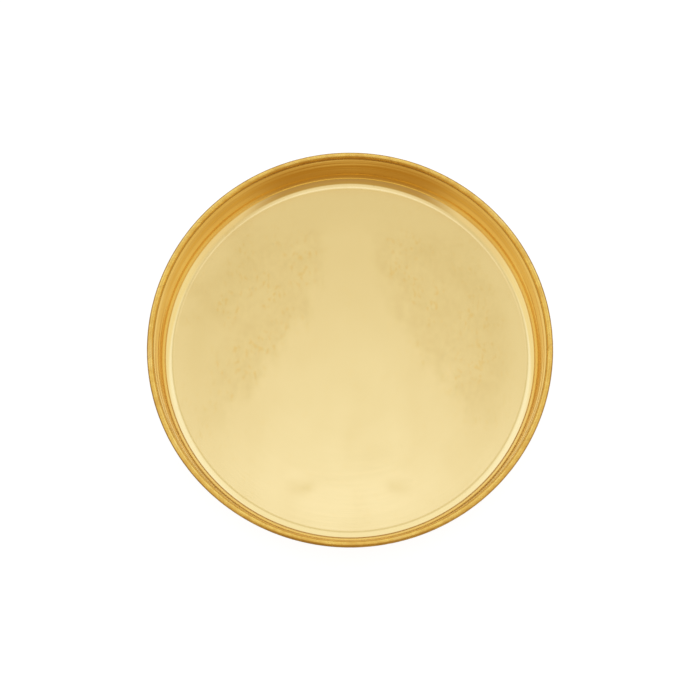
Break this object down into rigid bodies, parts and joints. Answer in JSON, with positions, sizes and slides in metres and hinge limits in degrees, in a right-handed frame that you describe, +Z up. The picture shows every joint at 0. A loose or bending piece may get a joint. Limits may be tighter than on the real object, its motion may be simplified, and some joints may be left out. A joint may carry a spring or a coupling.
{
  "type": "offering plate",
  "caption": "Shallow round collection plate of spun brass: flat floor, steep wall and a thick wired bead round the rim, for passing along rows of seats.",
  "frame": {"origin": "middle of the ring that the plate stands on, at table height", "axes": "+Z up along the plate's axis of revolution; the bead's butt joint is at +X"},
  "size_m": [0.3047, 0.3048, 0.0381],
  "materials": {
    "pan_brass": "satin floor with fine spun marks, brighter polished wall, light patina",
    "bead_brass": "rubbed and scuffed, duller and deeper in colour than the pan",
    "core_steel": "drawn wire, hidden"
  },
  "bodies": {
    "root": {"pan": "pan_brass", "rim_bead": "bead_brass", "rim_core_wire": "core_steel"}
  },
  "joints": []
}
